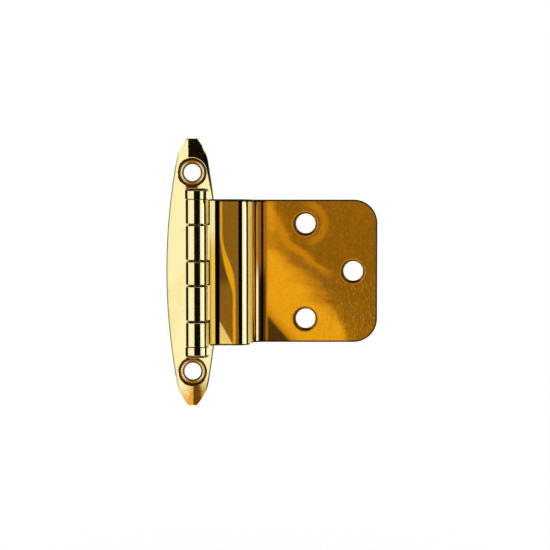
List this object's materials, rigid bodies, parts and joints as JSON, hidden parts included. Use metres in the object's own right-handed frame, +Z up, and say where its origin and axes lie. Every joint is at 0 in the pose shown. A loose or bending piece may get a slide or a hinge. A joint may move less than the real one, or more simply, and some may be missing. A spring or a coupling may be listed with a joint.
{
  "type": "offset cabinet hinge",
  "caption": "Polished brass offset hinge: a boat-shaped frame wing with a crowned face, a five-knuckle barrel with button tips, and a cranked door leaf with screw holes.",
  "frame": {"origin": "middle of the frame wing's flat back, on the face of the cabinet frame", "axes": "+Z up along the pin, +X towards the door, -Y out of the cabinet towards the viewer"},
  "size_m": [0.0557, 0.0175, 0.0698],
  "materials": {
    "polished_brass": "polished, with fine scratches and slight tarnish",
    "pin_brass": "drawn and plain"
  },
  "bodies": {
    "frame": {"frame_wing": "polished_brass", "hinge_pin": "pin_brass", "top_pin_tip": "polished_brass", "bottom_pin_tip": "polished_brass"},
    "door": {"door_wing": "polished_brass"}
  },
  "joints": [
    {"name": "door_swing", "type": "hinge", "parent": "frame", "child": "door", "pos_m": [0.0015, -0.00618, 0], "axis": [0, 0, -1], "range_deg": [0, 180]}
  ]
}
